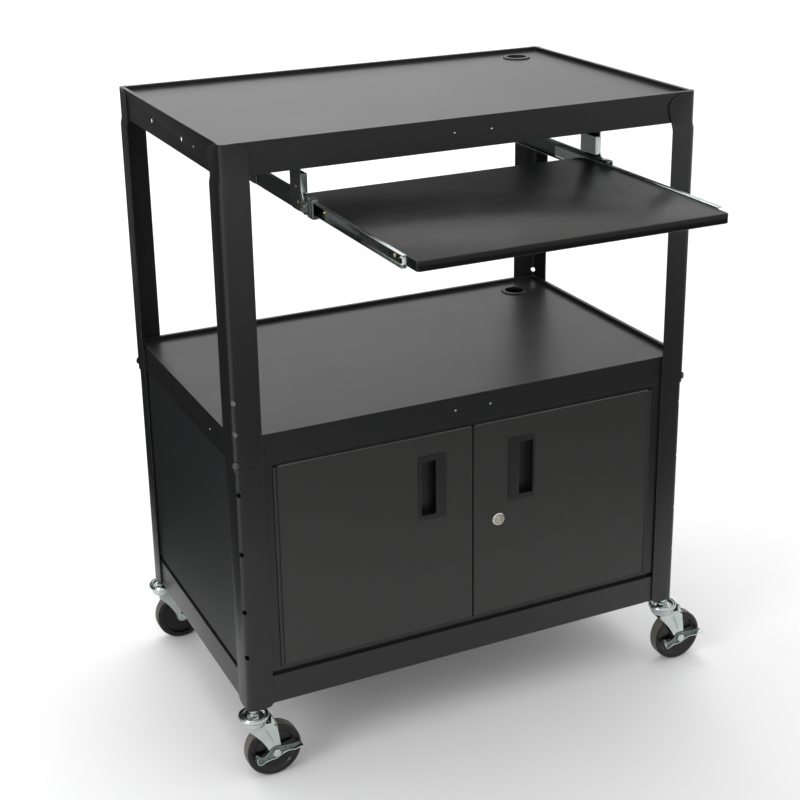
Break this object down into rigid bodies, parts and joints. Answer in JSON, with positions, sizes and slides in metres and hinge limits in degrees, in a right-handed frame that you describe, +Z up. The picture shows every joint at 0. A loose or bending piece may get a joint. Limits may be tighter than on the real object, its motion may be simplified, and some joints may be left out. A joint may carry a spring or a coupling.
{
  "type": "audio visual cart",
  "caption": "Audio visual cart: steel trays on angle legs, a locking two-door cabinet, a pull-out keyboard board on ball slides and swivel casters with brakes.",
  "frame": {"origin": "bottom centre of the whole cart's box, on the floor, with the keyboard board pulled out and all casters trailing to the right", "axes": "+Z up; the doors and the keyboard board face -Y; +X to the right seen from the front"},
  "size_m": [0.8956, 0.8366, 1.0595],
  "materials": {
    "powder_coat": "black semi-gloss powder coat on sheet steel",
    "laminate": "black laminated particle board, fine grain",
    "black_plastic": "black moulded plastic, satin",
    "zinc": "bright zinc plate on pressed steel",
    "black_oxide": "black oxide on a domed bolt and nut",
    "wheel_rubber": "black rubber, smooth sides and a worn tread",
    "nickel": "bright nickel plate"
  },
  "bodies": {
    "cart": {"top_tray": "powder_coat", "middle_tray": "powder_coat", "base_tray": "powder_coat", "upper_leg_front_left": "powder_coat", "upper_leg_front_right": "powder_coat", "upper_leg_back_left": "powder_coat", "upper_leg_back_right": "powder_coat", "lower_leg_front_left": "powder_coat", "lower_leg_front_right": "powder_coat", "lower_leg_back_left": "powder_coat", "lower_leg_back_right": "powder_coat", "leg_bolt_front_left": "black_oxide", "leg_bolt_front_right": "black_oxide", "leg_bolt_back_left": "black_oxide", "leg_bolt_back_right": "black_oxide", "caster_mount_front_left": "zinc", "caster_mount_front_right": "zinc", "caster_mount_back_left": "zinc", "caster_mount_back_right": "zinc", "cabinet_side_left": "powder_coat", "cabinet_side_right": "powder_coat", "cabinet_back": "powder_coat", "door_frame": "powder_coat", "cable_grommet_top": "black_plastic", "cable_grommet_middle": "black_plastic", "hinge_frame_leaf_left": "powder_coat", "hinge_frame_leaf_right": "powder_coat", "slide_fixed_rail_left": "zinc", "slide_fixed_rail_right": "zinc", "slide_bracket_left": "zinc", "slide_bracket_right": "zinc", "hanger_front_left": "zinc", "hanger_front_right": "zinc", "hanger_rear_left": "zinc", "hanger_rear_right": "zinc"},
    "keyboard_tray": {"keyboard_board": "laminate", "slide_moving_rail_left": "zinc", "slide_moving_rail_right": "zinc"},
    "ball_cages": {"slide_ball_cage_left": "zinc", "slide_ball_cage_right": "zinc"},
    "door_left_body": {"door_left": "powder_coat", "hinge_door_leaf_left": "powder_coat", "handle_cup_left": "black_plastic"},
    "door_right_body": {"door_right": "powder_coat", "hinge_door_leaf_right": "powder_coat", "handle_cup_right": "black_plastic", "lock_housing": "nickel"},
    "lock_plug_body": {"lock_plug": "nickel"},
    "swivel_front_left": {"caster_fork_front_left": "zinc"},
    "wheel_front_left_body": {"wheel_front_left": "wheel_rubber"},
    "swivel_front_right": {"caster_fork_front_right": "zinc"},
    "wheel_front_right_body": {"wheel_front_right": "wheel_rubber"},
    "swivel_back_left": {"caster_fork_back_left": "zinc"},
    "wheel_back_left_body": {"wheel_back_left": "wheel_rubber"},
    "swivel_back_right": {"caster_fork_back_right": "zinc"},
    "wheel_back_right_body": {"wheel_back_right": "wheel_rubber"},
    "brake_front_left": {"brake_lever_front_left": "zinc"},
    "brake_front_right": {"brake_lever_front_right": "zinc"}
  },
  "joints": [
    {"name": "keyboard_slide", "type": "slide", "parent": "cart", "child": "keyboard_tray", "axis": [0, 1, 0], "range_m": [0, 0.317]},
    {"name": "cage_slide", "type": "slide", "parent": "cart", "child": "ball_cages", "axis": [0, 1, 0], "range_m": [0, 0.1585]},
    {"name": "door_hinge_left", "type": "hinge", "parent": "cart", "child": "door_left_body", "pos_m": [-0.37071, -0.1043, 0.37371], "axis": [0, 0, -1], "range_deg": [0, 110]},
    {"name": "door_hinge_right", "type": "hinge", "parent": "cart", "child": "door_right_body", "pos_m": [0.31929, -0.1043, 0.37371], "axis": [0, 0, 1], "range_deg": [0, 110]},
    {"name": "lock_turn", "type": "hinge", "parent": "door_right_body", "child": "lock_plug_body", "pos_m": [0.02179, -0.1058, 0.37141], "axis": [0, -1, 0], "range_deg": [0, 90]},
    {"name": "swivel_turn_front_left", "type": "hinge", "parent": "cart", "child": "swivel_front_left", "pos_m": [-0.42221, -0.0953, 0.10201], "axis": [0, 0, 1], "continuous": true},
    {"name": "wheel_spin_front_left", "type": "hinge", "parent": "swivel_front_left", "child": "wheel_front_left_body", "pos_m": [-0.39221, -0.0953, 0.04701], "axis": [0, 1, 0], "continuous": true},
    {"name": "brake_turn_front_left", "type": "hinge", "parent": "swivel_front_left", "child": "brake_front_left", "pos_m": [-0.39221, -0.0953, 0.04701], "axis": [0, -1, 0], "range_deg": [0, 12]},
    {"name": "swivel_turn_front_right", "type": "hinge", "parent": "cart", "child": "swivel_front_right", "pos_m": [0.37079, -0.0953, 0.10201], "axis": [0, 0, 1], "continuous": true},
    {"name": "wheel_spin_front_right", "type": "hinge", "parent": "swivel_front_right", "child": "wheel_front_right_body", "pos_m": [0.40079, -0.0953, 0.04701], "axis": [0, 1, 0], "continuous": true},
    {"name": "brake_turn_front_right", "type": "hinge", "parent": "swivel_front_right", "child": "brake_front_right", "pos_m": [0.40079, -0.0953, 0.04701], "axis": [0, -1, 0], "range_deg": [0, 12]},
    {"name": "swivel_turn_back_left", "type": "hinge", "parent": "cart", "child": "swivel_back_left", "pos_m": [-0.42221, 0.3927, 0.10201], "axis": [0, 0, 1], "continuous": true},
    {"name": "wheel_spin_back_left", "type": "hinge", "parent": "swivel_back_left", "child": "wheel_back_left_body", "pos_m": [-0.39221, 0.3927, 0.04701], "axis": [0, 1, 0], "continuous": true},
    {"name": "swivel_turn_back_right", "type": "hinge", "parent": "cart", "child": "swivel_back_right", "pos_m": [0.37079, 0.3927, 0.10201], "axis": [0, 0, 1], "continuous": true},
    {"name": "wheel_spin_back_right", "type": "hinge", "parent": "swivel_back_right", "child": "wheel_back_right_body", "pos_m": [0.40079, 0.3927, 0.04701], "axis": [0, 1, 0], "continuous": true}
  ],
  "couplings": [
    {"joint": "cage_slide", "follows": "keyboard_slide", "ratio": 0.5}
  ]
}
